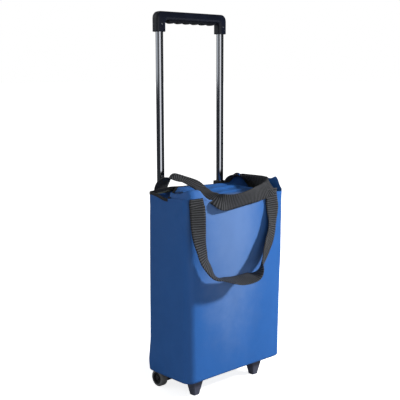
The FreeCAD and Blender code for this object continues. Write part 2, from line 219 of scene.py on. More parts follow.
def make_piece(mesh: bmesh.types.BMesh, name: str, finish: "Finish", body: Body,
               stands_for: Sequence[str] = (), thick: float = 0.0, smooth_levels: int = 0,
               bevel: float = 0.0) -> bpy.types.Object:
    """Turns a finished mesh into a piece of the trolley.

    Args:
        mesh: the bmesh, which is used up.
        name: the piece's name.
        finish: what it is made of.
        body: the moving part that it rides on.
        stands_for: the plain solids that it replaces.
        thick: wall thickness in mm to give an open sheet, or 0.
        smooth_levels: subdivision levels.
        bevel: edge rounding in mm, or 0.

    Returns:
        The new object.
    """
    data = bpy.data.meshes.new(name)
    mesh.to_mesh(data)
    mesh.free()
    data.materials.append(finish.material())
    data.polygons.foreach_set("use_smooth", [True] * len(data.polygons))
    piece = bpy.data.objects.new(name, data)
    bpy.context.scene.collection.objects.link(piece)
    if thick:
        wall = piece.modifiers.new("thickness", "SOLIDIFY")
        wall.thickness = thick * MM
        wall.offset = 0.0
        wall.use_even_offset = True
    if bevel:
        edge = piece.modifiers.new("soft_edge", "BEVEL")
        edge.width = bevel * MM
        edge.segments = 2
        edge.limit_method = "ANGLE"
        edge.angle_limit = math.radians(40)
    if smooth_levels:
        soft = piece.modifiers.new("soft", "SUBSURF")
        soft.levels = soft.render_levels = smooth_levels
    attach(piece, body.value)
    if stands_for:
        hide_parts(*stands_for)
    log.info("%s: %d faces on %s", name, len(data.polygons), body.value)
    return piece


# ---- finishes ---------------------------------------------------------------------------


@dataclass(frozen=True)
class Finish:
    """What a piece is made of. Each kind fills in its own nodes."""

    name: str

    def material(self) -> bpy.types.Material:
        """Returns the material, made the first time that it is asked for."""
        found = bpy.data.materials.get(self.name)
        if found:
            return found
        made = bpy.data.materials.new(self.name)
        made.use_nodes = True
        tree = made.node_tree
        tree.nodes.clear()
        shader = add_node(tree, "ShaderNodeBsdfPrincipled")
        add_node(tree, "ShaderNodeOutputMaterial", links={"Surface": shader.outputs[0]})
        self.dress(tree, shader)
        return made

    def dress(self, tree: bpy.types.NodeTree, shader: bpy.types.Node) -> None:
        """Sets the shader and its textures."""
        raise NotImplementedError


@dataclass(frozen=True)
class WovenCloth(Finish):
    """Woven polyester or nylon: dull threads with a faint shine along the weave."""

    light: str = "#3A74C0"
    dark: str = "#2C61A8"
    pattern: Pattern = Pattern.TWILL
    thread: float = 2.5
    relief: float = 0.12
    roughness: float = 0.55
    sheen: float = 0.15
    specular: float = 0.5
    contrast: float = 0.5
    # colour, middle and reach in mm of a painted highlight: a paler patch fixed on the cloth
    pale: str = ""
    painted_highlight_middle: Spot = (0.0, 0.0, 0.0)
    painted_highlight_reach: Spot = (1.0, 1.0, 1.0)

    def add_painted_highlight(self, tree: bpy.types.NodeTree, place: bpy.types.NodeSocket, tone: bpy.types.NodeSocket,
                       blotch: bpy.types.NodeSocket) -> bpy.types.NodeSocket:
        """Paints a highlight into the colour: a paler patch fixed on the cloth, brightest at its middle.

        Args:
            tree: the node tree.
            place: the object coordinates.
            tone: the colour so far.
            blotch: soft noise that breaks the patch's edge.

        Returns:
            The new colour.
        """
        scale = tuple(1 / (reach * MM) for reach in self.painted_highlight_reach)
        shift = tuple(-middle / reach for middle, reach in zip(self.painted_highlight_middle, self.painted_highlight_reach))
        near = add_node(tree, "ShaderNodeMapping", {"Scale": scale, "Location": shift}, {"Vector": place})
        far = add_node(tree, "ShaderNodeVectorMath", {"operation": "LENGTH"}, {0: near.outputs[0]})
        rough = add_node(tree, "ShaderNodeMath", {"operation": "MULTIPLY_ADD", 1: 0.5},
                         {0: blotch, 2: far.outputs["Value"]})
        amount = add_node(tree, "ShaderNodeMapRange", {"interpolation_type": "SMOOTHSTEP", "From Min": 0.45,
                                                       "From Max": 1.35, "To Min": 1.0, "To Max": 0.0},
                          {"Value": rough.outputs[0]})
        mixed = add_node(tree, "ShaderNodeMix", {"data_type": "RGBA", 7: linear(self.pale)},
                         {0: amount.outputs[0], 6: tone})
        return mixed.outputs[2]

    def dress(self, tree: bpy.types.NodeTree, shader: bpy.types.Node) -> None:
        """Sets the shader and its textures."""
        coords = add_node(tree, "ShaderNodeTexCoord")
        # the wave texture repeats every 0.314 / scale metres
        scale = 0.314 / (self.thread * MM)
        turn = math.radians(45) if self.pattern is Pattern.TWILL else 0.0
        turned = add_node(tree, "ShaderNodeMapping", {"Rotation": (0, 0, turn)},
                          {"Vector": coords.outputs["UV"]})
        wave = {"wave_type": "BANDS", "bands_direction": "Y", "Scale": scale, "Distortion": 0.6,
                "Detail": 1.0, "Detail Scale": 1.5}
        weft = add_node(tree, "ShaderNodeTexWave", wave, {"Vector": turned.outputs[0]})
        across = dict(wave, bands_direction="X")
        if self.pattern is Pattern.RIBBED:
            across["Scale"] = scale * 3.1
        warp = add_node(tree, "ShaderNodeTexWave", across, {"Vector": turned.outputs[0]})
        share = {Pattern.TWILL: 0.35, Pattern.RIBBED: 0.16, Pattern.PLAIN: 0.5}[self.pattern]
        weave = add_node(tree, "ShaderNodeMix", {"data_type": "FLOAT", "Factor": share},
                         {2: weft.outputs["Fac"], 3: warp.outputs["Fac"]})
        blotch = add_node(tree, "ShaderNodeTexNoise", {"Scale": 22.0, "Detail": 5.0, "Roughness": 0.6},
                          {"Vector": coords.outputs["Object"]})
        fuzz = add_node(tree, "ShaderNodeTexNoise", {"Scale": 700.0, "Detail": 2.0},
                        {"Vector": coords.outputs["UV"]})
        # narrow bright threads between wide dark gaps on heavy ribs
        sharp = add_node(tree, "ShaderNodeMath", {"operation": "POWER",
                                                  1: 1.7 if self.pattern is Pattern.RIBBED else 1.0},
                         {0: weave.outputs[0]})
        woven = add_node(tree, "ShaderNodeMath", {"operation": "MULTIPLY_ADD", 1: self.contrast,
                                                  2: 0.5 - self.contrast / 2},
                         {0: sharp.outputs[0]})
        toned = add_node(tree, "ShaderNodeMix", {"data_type": "FLOAT", "Factor": 0.3},
                         {2: woven.outputs[0], 3: blotch.outputs["Fac"]})
        ramp = add_node(tree, "ShaderNodeMix", {"data_type": "RGBA", 6: linear(self.dark),
                                                7: linear(self.light)}, {0: toned.outputs[0]})
        tone = ramp.outputs[2]
        # the painted highlight, where the cloth has one
        if self.pale:
            tone = self.add_painted_highlight(tree, coords.outputs["Object"], tone, blotch.outputs["Fac"])
        tree.links.new(tone, shader.inputs["Base Color"])
        rough = add_node(tree, "ShaderNodeMapRange", {"To Min": self.roughness - 0.06,
                                                      "To Max": self.roughness + 0.08},
                         {"Value": blotch.outputs["Fac"]})
        tree.links.new(rough.outputs[0], shader.inputs["Roughness"])
        shader.inputs["Specular IOR Level"].default_value = self.specular
        shader.inputs["IOR"].default_value = 1.5
        shader.inputs["Sheen Weight"].default_value = self.sheen
        shader.inputs["Sheen Roughness"].default_value = 0.4
        height = add_node(tree, "ShaderNodeMath", {"operation": "MULTIPLY_ADD", 1: 0.12},
                          {0: fuzz.outputs["Fac"], 2: weave.outputs[0]})
        bump = add_node(tree, "ShaderNodeBump", {"Strength": 1.0, "Distance": self.relief * MM},
                        {"Height": height.outputs[0]})
        tree.links.new(bump.outputs[0], shader.inputs["Normal"])


@dataclass(frozen=True)
class MouldedPlastic(Finish):
    """Injection-moulded plastic: an even colour with a fine spark-eroded grain."""

    colour: str = "#191C25"
    worn: str = "#262A35"
    roughness: float = 0.4
    grain: float = 1.4
    relief: float = 0.03
    gloss: float = 0.5

    def dress(self, tree: bpy.types.NodeTree, shader: bpy.types.Node) -> None:
        """Sets the shader and its textures."""
        coords = add_node(tree, "ShaderNodeTexCoord")
        grain = add_node(tree, "ShaderNodeTexNoise", {"Scale": 1 / (self.grain * MM), "Detail": 3.0},
                         {"Vector": coords.outputs["Object"]})
        cloud = add_node(tree, "ShaderNodeTexNoise", {"Scale": 45.0, "Detail": 4.0},
                         {"Vector": coords.outputs["Object"]})
        mixed = add_node(tree, "ShaderNodeMix", {"data_type": "RGBA", 6: linear(self.colour),
                                                 7: linear(self.worn)}, {0: cloud.outputs["Fac"]})
        tree.links.new(mixed.outputs[2], shader.inputs["Base Color"])
        rough = add_node(tree, "ShaderNodeMapRange", {"To Min": self.roughness - 0.08,
                                                      "To Max": self.roughness + 0.1},
                         {"Value": cloud.outputs["Fac"]})
        tree.links.new(rough.outputs[0], shader.inputs["Roughness"])
        shader.inputs["IOR"].default_value = 1.49
        shader.inputs["Specular IOR Level"].default_value = self.gloss
        bump = add_node(tree, "ShaderNodeBump", {"Strength": 1.0, "Distance": self.relief * MM},
                        {"Height": grain.outputs["Fac"]})
        tree.links.new(bump.outputs[0], shader.inputs["Normal"])


@dataclass(frozen=True)
class PlatedMetal(Finish):
    """Plated or bare steel: mirror-like, with faint draw lines and handling marks."""

    colour: str = "#8A8C92"
    marked: str = "#7A7C82"
    roughness: float = 0.12
    line: float = 1.2
    stretch: Spot = (1.0, 1.0, 0.02)

    def dress(self, tree: bpy.types.NodeTree, shader: bpy.types.Node) -> None:
        """Sets the shader and its textures."""
        coords = add_node(tree, "ShaderNodeTexCoord")
        drawn = add_node(tree, "ShaderNodeMapping", {"Scale": self.stretch},
                         {"Vector": coords.outputs["Object"]})
        lines = add_node(tree, "ShaderNodeTexNoise", {"Scale": 1 / (self.line * MM), "Detail": 2.0},
                         {"Vector": drawn.outputs[0]})
        marks = add_node(tree, "ShaderNodeTexNoise", {"Scale": 60.0, "Detail": 6.0, "Roughness": 0.7},
                         {"Vector": coords.outputs["Object"]})
        tone = add_node(tree, "ShaderNodeMix", {"data_type": "RGBA", 6: linear(self.colour),
                                                7: linear(self.marked)}, {0: marks.outputs["Fac"]})
        tree.links.new(tone.outputs[2], shader.inputs["Base Color"])
        rough = add_node(tree, "ShaderNodeMapRange", {"From Min": 0.3, "From Max": 0.75,
                                                      "To Min": self.roughness,
                                                      "To Max": self.roughness + 0.04},
                         {"Value": lines.outputs["Fac"]})
        tree.links.new(rough.outputs[0], shader.inputs["Roughness"])
        shader.inputs["Metallic"].default_value = 1.0


# coated polyester, plain weave, dyed royal blue: dull, with a broad painted highlight, a paler patch fixed on the
# upper front
BAG_CLOTH = WovenCloth("polyester_royal_blue", light="#3A74C0", dark="#27599E", thread=2.5, relief=0.14,
                       roughness=0.55, sheen=0.0, specular=0.3, pale="#6486BE", painted_highlight_middle=(-20, -66, 455),
                       painted_highlight_reach=(140, 60, 400))
# the same cloth turned in at the mouth, drawn darker: a painted shade
SHADED_BAG_CLOTH = WovenCloth("polyester_royal_blue_painted_shade", light="#2A5AA0", dark="#1B427E",
                          thread=2.5, relief=0.10, roughness=0.7, specular=0.2, sheen=0.0)
# polypropylene webbing, heavy cross ribs about 2 mm apart, drawn 5.5 mm apart so that they show
WEBBING = WovenCloth("polypropylene_webbing_charcoal", light="#5E5F62", dark="#08080A",
                     pattern=Pattern.RIBBED, thread=5.5, relief=0.95, roughness=0.6, sheen=0.0,
                     specular=0.25, contrast=1.0)
# nylon grosgrain tape that binds the raw edges
TAPE = WovenCloth("nylon_binding_tape_black", light="#23242A", dark="#0B0C0F", pattern=Pattern.RIBBED,
                  thread=2.4, relief=0.2, roughness=0.65, sheen=0.05)
# thin polyester taffeta lining
LINING = WovenCloth("taffeta_lining_black", light="#454A46", dark="#282C28", pattern=Pattern.PLAIN,
                    thread=3.0, relief=0.06, roughness=0.75, sheen=0.1)
THREAD = WovenCloth("polyester_thread_grey", light="#8C93A0", dark="#5E6674", pattern=Pattern.PLAIN,
                    thread=1.5, relief=0.05, roughness=0.6)
# steel tube, black chrome plated: a dark mirror
BLACK_CHROME = PlatedMetal("steel_black_chrome_plated", colour="#9C9EA4", marked="#93959B", roughness=0.07)
OUTER_CHROME = PlatedMetal("steel_outer_tube_black_chrome", colour="#6A6C72", marked="#5C5E64", roughness=0.16)
ZINC_STEEL = PlatedMetal("steel_zinc_plated", colour="#C3C6C9", marked="#A9ACB0", roughness=0.3,
                         stretch=(1.0, 1.0, 1.0))
SPRING_STEEL = PlatedMetal("spring_steel_wire", colour="#8F9194", marked="#75777A", roughness=0.28,
                           stretch=(1.0, 1.0, 1.0))
RIVET_STEEL = PlatedMetal("steel_rivet_nickel_plated", colour="#9A9DA3", marked="#85888E",
                          roughness=0.24, stretch=(1.0, 1.0, 1.0))
# glass-filled nylon grip, moulded in near-black navy with a satin skin
GRIP_NYLON = MouldedPlastic("nylon_grip_moulded_navy_black", colour="#0B0E17", worn="#131828", roughness=0.45,
                            gloss=0.45)
GRIP_INSERT = MouldedPlastic("tpe_grip_insert_moulded", colour="#0C0D12", worn="#14161D", roughness=0.5)
ACETAL = MouldedPlastic("acetal_moulded_black", colour="#121317", worn="#1B1D22", roughness=0.35)
BASE_PLASTIC = MouldedPlastic("polypropylene_moulded_slate", colour="#484A59", worn="#565868", roughness=0.5)
HUB_PLASTIC = MouldedPlastic("polypropylene_hub_moulded_black", colour="#1A1B1E", worn="#2A2B2E", roughness=0.5)
BOARD_PLASTIC = MouldedPlastic("polypropylene_board_black", colour="#17181B", worn="#222327", roughness=0.6)
# thermoplastic rubber tyre: soft, dull and a little dusty
TYRE_RUBBER = MouldedPlastic("rubber_tyre_moulded_dark_grey", colour="#626263", worn="#7C7B7A",
                             roughness=0.78, grain=2.0, relief=0.08)


# ---- the bag ----------------------------------------------------------------------------


@dataclass
class BagShape:
    """The stitched shell's outline at any height, shared by cloth, lining and tape."""

    half_width: float = 162.5
    front: float = -66.5
    back: float = 86.5
    bottom: float = 50.0
    fold: float = 505.0
    base_round: float = 6.0
    spans: tuple = (("left", 30), ("front_left", 14), ("front", 60), ("front_right", 12),
                    ("right", 30), ("rear_right", 8), ("back", 60), ("rear_left", 8))
    # height of the taped rim or fold line: (span, part of the way along it) to mm
    rim: tuple = (("left", 0.0, 510), ("left", 0.55, 500), ("left", 1.0, 503),
                  ("front_left", 0.5, 505), ("front", 0.0, 506), ("front", 0.09, 506), ("front", 0.16, 498),
                  ("front", 0.86, 498), ("front", 1.0, 496), ("front_right", 0.4, 496), ("front_right", 1.0, 503),
                  ("right", 0.14, 532), ("right", 0.28, 525), ("right", 0.5, 528), ("right", 1.0, 527),
                  ("rear_right", 0.5, 526), ("back", 0.02, 530), ("back", 0.12, 519),
                  ("back", 0.17, 509.5), ("back", 0.26, 507), ("back", 0.42, 508),
                  ("back", 0.66, 512), ("back", 0.8, 514), ("back", 1.0, 509.5),
                  ("rear_left", 0.5, 509))

    def columns(self) -> int:
        """Returns how many columns of cloth go round the bag."""
        return sum(count for _, count in self.spans)

    def locate(self, column: float) -> tuple[str, float]:
        """Returns the span that a column is on and how far along it is."""
        for name, count in self.spans:
            if column <= count:
                return name, column / count
            column -= count
        return self.spans[-1][0], 1.0

    def column_of(self, span: str, along: float) -> float:
        """Returns the column at a part of the way along a span."""
        passed = 0
        for name, count in self.spans:
            if name == span:
                return passed + along * count
            passed += count
        raise KeyError(span)

    def radii(self, z: float) -> dict[str, float]:
        """Returns the four corner radii at a height."""
        up = (z - self.bottom) / (self.fold - self.bottom)
        return {"rear_left": 3.0 + 12.0 * up, "front_left": 26.0 - 2 * up, "front_right": 16.0 - 13.0 * fade(0.0, 0.8, up),
                "rear_right": 10.0}

    def rim_height(self, column: float) -> float:
        """Returns the height of the rim or fold at a column."""
        knots = [(self.column_of(span, along), height) for span, along, height in self.rim]
        total = self.columns()
        knots = [(knots[-1][0] - total, knots[-1][1])] + knots + [(knots[0][0] + total, knots[0][1])]
        return knotted(knots, column)

    def outline(self, column: float, z: float, inset: float = 0.0) -> tuple[Vector, Vector]:
        """Finds a place on the bag's outline.

        Args:
            column: place round the bag, in columns.
            z: the height.
            inset: how far inside the outer face.

        Returns:
            The place, at that height, and the outward direction.
        """
        radius = {name: max(value - inset, 1.5) for name, value in self.radii(z).items()}
        side, front, back = self.half_width - inset, self.front + inset, self.back - inset
        span, t = self.locate(column)
        if span in radius:
            r = radius[span]
            centre = {"front_left": (-side + r, front + r), "front_right": (side - r, front + r),
                      "rear_right": (side - r, back - r), "rear_left": (-side + r, back - r)}[span]
            start = {"front_left": 180, "front_right": 270, "rear_right": 0, "rear_left": 90}[span]
            turn = math.radians(start + 90 * t)
            out = Vector((math.cos(turn), math.sin(turn), 0))
            return Vector((centre[0], centre[1], z)) + out * r, out
        ends = {"left": ((-side, back - radius["rear_left"]), (-side, front + radius["front_left"]), (-1, 0)),
                "front": ((-side + radius["front_left"], front), (side - radius["front_right"], front), (0, -1)),
                "right": ((side, front + radius["front_right"]), (side, back - radius["rear_right"]), (1, 0)),
                "back": ((side - radius["rear_right"], back), (-side + radius["rear_left"], back), (0, 1))}
        (x0, y0), (x1, y1), (nx, ny) = ends[span]
        return Vector((x0 + (x1 - x0) * t, y0 + (y1 - y0) * t, z)), Vector((nx, ny, 0))

    def slack(self, column: float, z: float) -> float:
        """Returns how far the cloth stands out of the flat panel there, in mm."""
        span, t = self.locate(column)
        up = (z - self.bottom) / (self.fold - self.bottom)
        swell = {"left": 3.0, "front": 3.5, "right": 2.5, "back": 0.3}.get(span, 0.0)
        belly = swell * math.sin(math.pi * t) ** 0.8 * math.sin(math.pi * min(1.0, max(0.0, up))) ** 0.7
        spot, _ = self.outline(column, z)
        calm = 0.25 if span == "back" else 1.0
        soft = 1.3 * ripple(spot.x, spot.y, z * 0.55, 62.0, 1.7) + 0.5 * ripple(spot.x, spot.y, z, 26.0, 5.1)
        crumple = 1.6 * fade(0.86, 0.98, up) * ripple(spot.x, spot.y, z * 0.6, 21.0, 8.3)
        heel = 0.0
        if span in ("left", "rear_left"):
            heel = 2.6 * math.exp(-((z - 82) / 26) ** 2) * fade(20, 60, spot.y)
        return belly + calm * (soft + crumple) * fade(0.0, 0.06, up) + heel

    def sag(self, spot: Vector) -> float:
        """Returns how far the bottom's edge hangs below the board there, in mm."""
        side = 3.6 * math.exp(-((spot.x + self.half_width) / 45) ** 2) * fade(-95, -20, spot.y)
        return side + 0.8 + 0.6 * ripple(spot.x, spot.y, 0, 60, 9.2)

    def skin(self, column: float, z: float, inset: float = 0.0) -> tuple[Vector, Vector]:
        """Returns a place on the real, slack skin and its outward direction."""
        spot, out = self.outline(column, z, inset)
        return spot + out * self.slack(column, z), out


@dataclass
class Bag:
    """The sewn bag: wall and bottom, lining, folded top, taped rim and tucked corners."""

    shape: BagShape = field(default_factory=BagShape)
    wall_rows: int = 78
    floor_rows: int = 6
    round_rows: int = 6
    tape_height: float = 6.0
    tape_stand: float = 0.9
    flap_columns: int = 120
    flap_rows: int = 44

    def build(self) -> None:
        """Makes and dresses every cloth piece of the bag."""
        self.make_wall()
        self.make_lining()
        self.make_top()
        self.make_tucked_corner()
        self.make_dog_ear()
        self.make_rim_tape()
        self.make_flap_tape()

    def make_wall(self) -> None:
        """Makes the outer cloth, from a pole under the base up to the rim."""
        shape, total = self.shape, self.shape.columns()
        rows = self.floor_rows + self.round_rows + self.wall_rows

        def place(u: float, v: float) -> tuple[Vector, tuple[float, float]]:
            column = (u * total) % total
            row = round(v * rows)
            if row <= self.floor_rows:
                part = row / self.floor_rows
                spot, _ = shape.outline(column, shape.bottom, shape.base_round)
                spot = Vector((spot.x * part, 10 + (spot.y - 10) * part, shape.bottom - shape.sag(spot) * part))
                return spot, (spot.x, spot.y - 100)
            if row <= self.floor_rows + self.round_rows:
                turn = math.pi / 2 * (row - self.floor_rows) / self.round_rows
                z = shape.bottom + shape.base_round * (1 - math.cos(turn))
                spot, out = shape.outline(column, z, shape.base_round * (1 - math.sin(turn)))
                spot = spot + out * shape.slack(column, z) * math.sin(turn)
                spot.z -= shape.sag(spot) * (1 - 0.5 * math.sin(turn))
                return spot, (u * 900, z)
            low = shape.bottom + shape.base_round
            part = (row - self.floor_rows - self.round_rows) / self.wall_rows
            z = low + (shape.rim_height(column) - low) * part
            spot, _ = shape.skin(column, z)
            spot.z -= shape.sag(spot) * 0.5 * (1 - fade(0.0, 0.12, part))
            return spot, (u * 900, z)

        mesh = mapped_grid(total, rows, place, weld=True)
        make_piece(mesh, "bag_cloth_body", BAG_CLOTH, Body.BASE,
                   stands_for=["bag_body"], smooth_levels=1)

    def make_lining(self) -> None:
        """Makes the inner wall that shows in the open part of the mouth."""
        shape, total = self.shape, self.shape.columns()
        low = 58.0
        first, last = shape.column_of("front", 0.88), shape.column_of("right", 0.38)

        def place(u: float, v: float) -> tuple[Vector, tuple[float, float]]:
            column = (u * total) % total
            # the outer cloth is turned in over the lining at the right front corner
            turned_in = 34.0 * fade(first, first + 4, column) * (1 - fade(last - 4, last, column))
            z = low + (shape.rim_height(column) - 1.0 - turned_in - low) * v
            spot, out = shape.skin(column, z)
            return spot - out * 2.2, (u * 900, z)

        mesh = mapped_grid(total, 44, place, weld=True, flip=True)
        make_piece(mesh, "bag_cloth_lining", LINING, Body.BASE, stands_for=["bag_lining"])

    def front_edge(self, u: float) -> Vector:
        """Returns a place on the flap's fold line, from the side seam round to the right end."""
        shape = self.shape
        start, end = shape.column_of("left", 0.55), shape.column_of("front", 0.86)
        column = start + (end - start) * u
        z = shape.rim_height(column)
        spot, _ = shape.skin(column, z)
        return spot

    def back_edge(self, u: float) -> Vector:
        """Returns a place on the flap's other edge: up the taped diagonal, then along the back rim."""
        bend = 0.34
        start, turn, end = Vector((-161.5, 4.0, 500.5)), Vector((-69, 83, 510.5)), Vector((114, 83, 506))
        if u < bend:
            return start.lerp(turn, u / bend)
        return turn.lerp(end, (u - bend) / (1 - bend))

    def flap_lift(self, spot: Vector, depth: float) -> float:
        """Returns how far the folded top rises at a place, depth mm behind the fold line."""
        ridge = fade(0, 11, depth) * (1 - fade(16, 44, depth))
        height = knotted(((-158, 0), (-147, 17), (-118, 18), (-104, 7), (-92, 0), (60, 2), (110, 3)), spot.x)
        crease = -3.2 * math.exp(-((depth - 11 - 0.10 * (spot.x + 135)) / 2.4) ** 2) * fade(-154, -146, spot.x) * (
            1 - fade(-128, -120, spot.x))
        middle = fade(-112, -70, spot.x) * (1 - fade(104, 124, spot.x))
        folds = middle * (4.2 * math.exp(-((depth - 66 - 6 * ripple(spot.x, 0, 0, 70, 2.2)) / 10) ** 2)
                          + 4.6 * math.exp(-((depth - 112 - 8 * ripple(spot.x, 0, 0, 60, 4.4)) / 11) ** 2))
        sag = -5.0 * fade(20, 60, depth) * (1 - fade(110, 148, depth)) * middle
        pressed = -7.0 * math.exp(-((spot.x + 88) / 24) ** 2 - ((depth - 16) / 20) ** 2)
        soft = 1.6 * ripple(spot.x, spot.y * 1.6, 0, 38, 6.1) * fade(2, 16, depth)
        fine = 1.2 * ripple(spot.x * 0.8, spot.y * 1.6, 0, 14, 2.9) * fade(3, 18, depth)
        return ridge * height + crease + folds + sag + pressed + soft + fine

    def make_top(self) -> None:
        """Makes the cloth folded back over the mouth, with its raised shoulder by the front."""

        def place(u: float, v: float) -> tuple[Vector, tuple[float, float]]:
            near, far = self.front_edge(u), self.back_edge(u)
            lap = 0.05
            if v < lap:
                # the fold rolls over the wall's top edge
                turn = math.pi / 2 * (1 - v / lap)
                out = Vector((near.x - far.x, near.y - far.y, 0)).normalized()
                spot = near + out * (0.9 * math.sin(turn)) + Vector((0, 0, 1.4 - 5.5 * (1 - math.cos(turn))))
                return spot, (u * 520, -8 * (1 - v / lap) + 500)
            t = (v - lap) / (1 - lap)
            spot = near.lerp(far, t)
            depth = (near - far).to_2d().length * t
            spot.z += 1.4 + self.flap_lift(spot, depth) * fade(0, 1, (1 - t) * 6)
            return spot, (u * 520, depth + 500)

        mesh = mapped_grid(self.flap_columns, self.flap_rows, place, weld=True)
        flap = make_piece(mesh, "bag_cloth_top", BAG_CLOTH, Body.BASE, stands_for=["top_flap"],
                          smooth_levels=1)

    def make_tucked_corner(self) -> None:
        """Makes the cloth turned in at the rear left, below the rim."""
        shape = self.shape
        seam, corner = shape.column_of("left", 0.55), shape.column_of("left", 0.0)

        def place(u: float, v: float) -> tuple[Vector, tuple[float, float]]:
            column = seam + (corner - seam) * u
            edge, out = shape.skin(column, shape.rim_height(column))
            edge = edge - out * 1.6 - Vector((0, 0, 2.5))
            inner = Vector((-161.0, 6.0, 498.5)).lerp(Vector((-72, 83.5, 507)), u)
            spot = edge.lerp(inner, v)
            spot.z -= 5.0 * u * math.sin(math.pi * v) ** 0.8
            spot.z += 0.9 * ripple(spot.x, spot.y, 0, 22, 3.3) * u
            return spot, (spot.x, spot.y)

        mesh = mapped_grid(26, 26, place, weld=True)
        bmesh.ops.recalc_face_normals(mesh, faces=mesh.faces)
        if sum(face.normal.z for face in mesh.faces) < 0:
            bmesh.ops.reverse_faces(mesh, faces=mesh.faces)
        # its darker cloth is a painted shade
        piece = make_piece(mesh, "bag_cloth_tucked_corner", SHADED_BAG_CLOTH, Body.BASE, smooth_levels=1)

    def make_dog_ear(self) -> None:
        """Makes the pointed fold that stands at the rear right of the mouth."""
        tip, left, right = Vector((149, 80.0, 531)), Vector((106, 80, 507)), Vector((150, 44, 500))

        def place(u: float, v: float) -> tuple[Vector, tuple[float, float]]:
            foot = left.lerp(right, u)
            spot = tip.lerp(foot, v)
            spot += Vector((-0.35, -0.8, 0.25)) * (6.0 * math.sin(math.pi * u) * math.sin(math.pi * v * 0.9))
            spot += Vector((0, 0, -3)) * v
            return spot, (u * 60, v * 50)

        mesh = mapped_grid(18, 18, place, weld=True)
        bmesh.ops.recalc_face_normals(mesh, faces=mesh.faces)
        if sum(face.normal.y for face in mesh.faces) > 0:
            bmesh.ops.reverse_faces(mesh, faces=mesh.faces)
        # its darker cloth is a painted shade
        piece = make_piece(mesh, "bag_cloth_dog_ear", SHADED_BAG_CLOTH, Body.BASE, smooth_levels=1)

    def make_rim_tape(self) -> None:
        """Makes the tape folded over the raw rim, from the right side round the back to the left seam."""
        shape, total = self.shape, self.shape.columns()
        start, end = shape.column_of("right", 0.34), total + shape.column_of("left", 0.57)
        steps = 180
        # (out of the wall, up from the rim) round the folded tape
        wrap = ((0.9, -1.0), (0.9, -0.5), (0.9, -0.05), (0.75, 0.09), (0.2, 0.15), (-1.4, 0.15), (-2.4, 0.09),
                (-3.0, -0.05), (-3.0, -0.5), (-3.0, -1.0))

        def place(u: float, v: float) -> tuple[Vector, tuple[float, float]]:
            column = (start + (end - start) * u) % total
            stand, rise = wrap[round(v * (len(wrap) - 1))]
            rim = shape.rim_height(column)
            height = self.tape_height if rise < 0 else self.tape_height * 1.2
            z = rim + rise * height
            spot, out = shape.skin(column, min(z, rim))
            return Vector((spot.x, spot.y, z)) + out * stand, (v * 14, u * 560)

        mesh = mapped_grid(steps, len(wrap) - 1, place)
        make_piece(mesh, "rim_binding_tape", TAPE, Body.BASE, stands_for=["rim_binding"],
                   thick=0.5, smooth_levels=1)

    def make_flap_tape(self) -> None:
        """Makes the tape along the flap's diagonal edge."""
        knots = []
        for i in range(9):
            spot = self.back_edge(0.34 * i / 8 * 0.97)
            knots.append((spot.x, spot.y, spot.z + 2.2 + 0.6 * math.sin(i), 0.65, -0.72, 0.25))
        mesh = band(knots, 7.5, columns=4, step=4.0, cup=1.0)
        make_piece(mesh, "flap_binding_tape", TAPE, Body.BASE, stands_for=["flap_binding"],
                   thick=0.8)


# ---- webbing ----------------------------------------------------------------------------


def band(knots: Sequence[Sequence[float]], width: float, columns: int = 8, step: float = 3.0,
         cup: float = 0.6) -> bmesh.types.BMesh:
    """Lays flat webbing along a route.

    Args:
        knots: stations of x, y, z and the direction from the band's first edge to its second.
        width: the band's width.
        columns: faces across the band.
        step: spacing of the rows of faces.
        cup: how far the edges curl.

    Returns:
        The open mesh of the band's middle surface.
    """
    path = spline(knots, step)
    rows = len(path) - 1
    places = [Vector(p[:3]) for p in path]

    def place(u: float, v: float) -> tuple[Vector, tuple[float, float]]:
        i = round(v * rows)
        along = (places[min(i + 1, rows)] - places[max(i - 1, 0)]).normalized()
        across = Vector(path[i][3:6])
        across = (across - along * across.dot(along)).normalized()
        inner = across.cross(along).normalized()
        side = 2 * u - 1
        spot = places[i] + across * (side * width / 2) + inner * (cup * (side * side - 0.4))
        return spot, (u * width, v * rows * step)

    return mapped_grid(columns, rows, place)


def stitches(points: Iterable[tuple[Vector, Vector, Vector]], length: float = 2.8,
             thick: float = 0.55) -> bmesh.types.BMesh:
    """Sews a row of short thread stitches.

    Args:
        points: for each stitch its middle, its direction and the direction out of the cloth.
        length: the stitch's length.
        thick: the thread's thickness.

    Returns:
        The mesh of every stitch, each a low rounded bar.
    """
    mesh = bmesh.new()
    for middle, along, out in points:
        across = out.cross(along).normalized()
        made = bmesh.ops.create_icosphere(mesh, subdivisions=1, radius=0.5)
        for vert in made["verts"]:
            local = vert.co.copy()
            vert.co = (middle + along * (local.x * length) + across * (local.y * thick)
                       + out * (local.z * thick)) * MM
    return mesh


